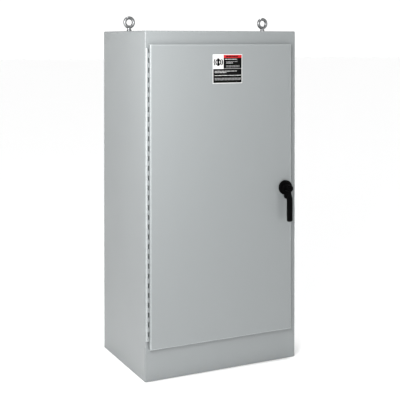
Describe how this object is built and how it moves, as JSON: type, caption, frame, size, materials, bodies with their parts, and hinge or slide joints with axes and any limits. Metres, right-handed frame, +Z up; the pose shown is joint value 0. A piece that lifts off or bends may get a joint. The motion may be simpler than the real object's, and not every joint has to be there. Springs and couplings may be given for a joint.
{
  "type": "manual transfer switch",
  "caption": "Floor-standing grey steel enclosure with a hinged overlay door, latch handle and lifting eyes, holding a three-pole double-throw switch thrown by a lever.",
  "frame": {"origin": "bottom centre of the bounding box, latch handle included, standing on the floor with the door closed", "axes": "+X to the right seen from the front, +Y to the back (the door faces -Y), +Z up"},
  "size_m": [0.9144, 0.6946, 1.9103],
  "materials": {
    "grey_paint": "satin light grey powder coat",
    "panel_white": "satin white paint",
    "zinc_plate": "zinc plated",
    "black_casting": "black powder coat on a casting",
    "black_nylon": "moulded nylon",
    "gasket_rubber": "closed-cell foam",
    "bright_steel": "machined",
    "copper_bus": "bare copper bar",
    "aluminium_lug": "tin plated",
    "insulating_board": "glass-polyester laminate",
    "red_insulator": "moulded",
    "label_face": "printed film"
  },
  "bodies": {
    "cabinet": {"enclosure_body": "grey_paint", "base_plate": "grey_paint", "hinge_leaf_body": "grey_paint", "mounting_panel": "panel_white", "lifting_eye_left": "zinc_plate", "lifting_eye_right": "zinc_plate", "lifting_eye_nut_left": "zinc_plate", "lifting_eye_nut_right": "zinc_plate", "hinge_pin": "bright_steel", "shaft_bearing_left": "bright_steel", "shaft_bearing_right": "bright_steel", "neutral_bar": "copper_bus", "normal_contact_a": "copper_bus", "emergency_contact_a": "copper_bus", "load_bus_a": "copper_bus", "normal_contact_b": "copper_bus", "emergency_contact_b": "copper_bus", "load_bus_b": "copper_bus", "normal_contact_c": "copper_bus", "emergency_contact_c": "copper_bus", "load_bus_c": "copper_bus", "ground_bar": "aluminium_lug", "normal_lug_a": "aluminium_lug", "emergency_lug_a": "aluminium_lug", "load_lug_a": "aluminium_lug", "normal_lug_b": "aluminium_lug", "emergency_lug_b": "aluminium_lug", "load_lug_b": "aluminium_lug", "normal_lug_c": "aluminium_lug", "emergency_lug_c": "aluminium_lug", "load_lug_c": "aluminium_lug", "switch_base": "insulating_board", "phase_barrier_ab": "insulating_board", "phase_barrier_bc": "insulating_board", "neutral_insulator_left": "red_insulator", "neutral_insulator_right": "red_insulator"},
    "door": {"door": "grey_paint", "door_gasket": "gasket_rubber", "hinge_leaf_door": "grey_paint", "notice_label": "label_face", "door_stiffener": "grey_paint", "print_pocket": "grey_paint", "latch_base": "black_casting", "latch_case": "zinc_plate", "upper_rod_guide": "black_nylon", "lower_rod_guide": "black_nylon"},
    "latch_handle": {"latch_lever": "black_casting", "latch_spindle": "bright_steel", "latch_pinion": "bright_steel"},
    "lock_plug": {"lock_plug": "black_casting"},
    "upper_rod": {"upper_rod": "zinc_plate", "upper_roller": "black_nylon"},
    "lower_rod": {"lower_rod": "zinc_plate", "lower_roller": "black_nylon"},
    "transfer_shaft": {"main_shaft": "bright_steel", "operating_lever": "bright_steel", "lever_grip": "red_insulator", "contact_blade_a": "copper_bus", "contact_blade_b": "copper_bus", "contact_blade_c": "copper_bus"}
  },
  "joints": [
    {"name": "door_swing", "type": "hinge", "parent": "cabinet", "child": "door", "pos_m": [-0.4507, -0.2698, 0.976], "axis": [0, 0, -1], "range_deg": [0, 180]},
    {"name": "latch_handle_turn", "type": "hinge", "parent": "door", "child": "latch_handle", "pos_m": [0.3738, -0.3223, 0.963], "axis": [0, 1, 0], "range_deg": [0, 90]},
    {"name": "key_turn", "type": "hinge", "parent": "latch_handle", "child": "lock_plug", "pos_m": [0.3738, -0.3423, 0.963], "axis": [0, 1, 0], "range_deg": [0, 90]},
    {"name": "upper_rod_slide", "type": "slide", "parent": "door", "child": "upper_rod", "axis": [0, 0, 1], "range_m": [-0.0189, 0]},
    {"name": "lower_rod_slide", "type": "slide", "parent": "door", "child": "lower_rod", "axis": [0, 0, 1], "range_m": [0, 0.0189]},
    {"name": "transfer_throw", "type": "hinge", "parent": "cabinet", "child": "transfer_shaft", "pos_m": [0, 0.1997, 1], "axis": [-1, 0, 0], "range_deg": [0, 80]}
  ],
  "couplings": [
    {"joint": "upper_rod_slide", "follows": "latch_handle_turn", "m_per_rad": -0.012},
    {"joint": "lower_rod_slide", "follows": "latch_handle_turn", "m_per_rad": 0.012}
  ]
}
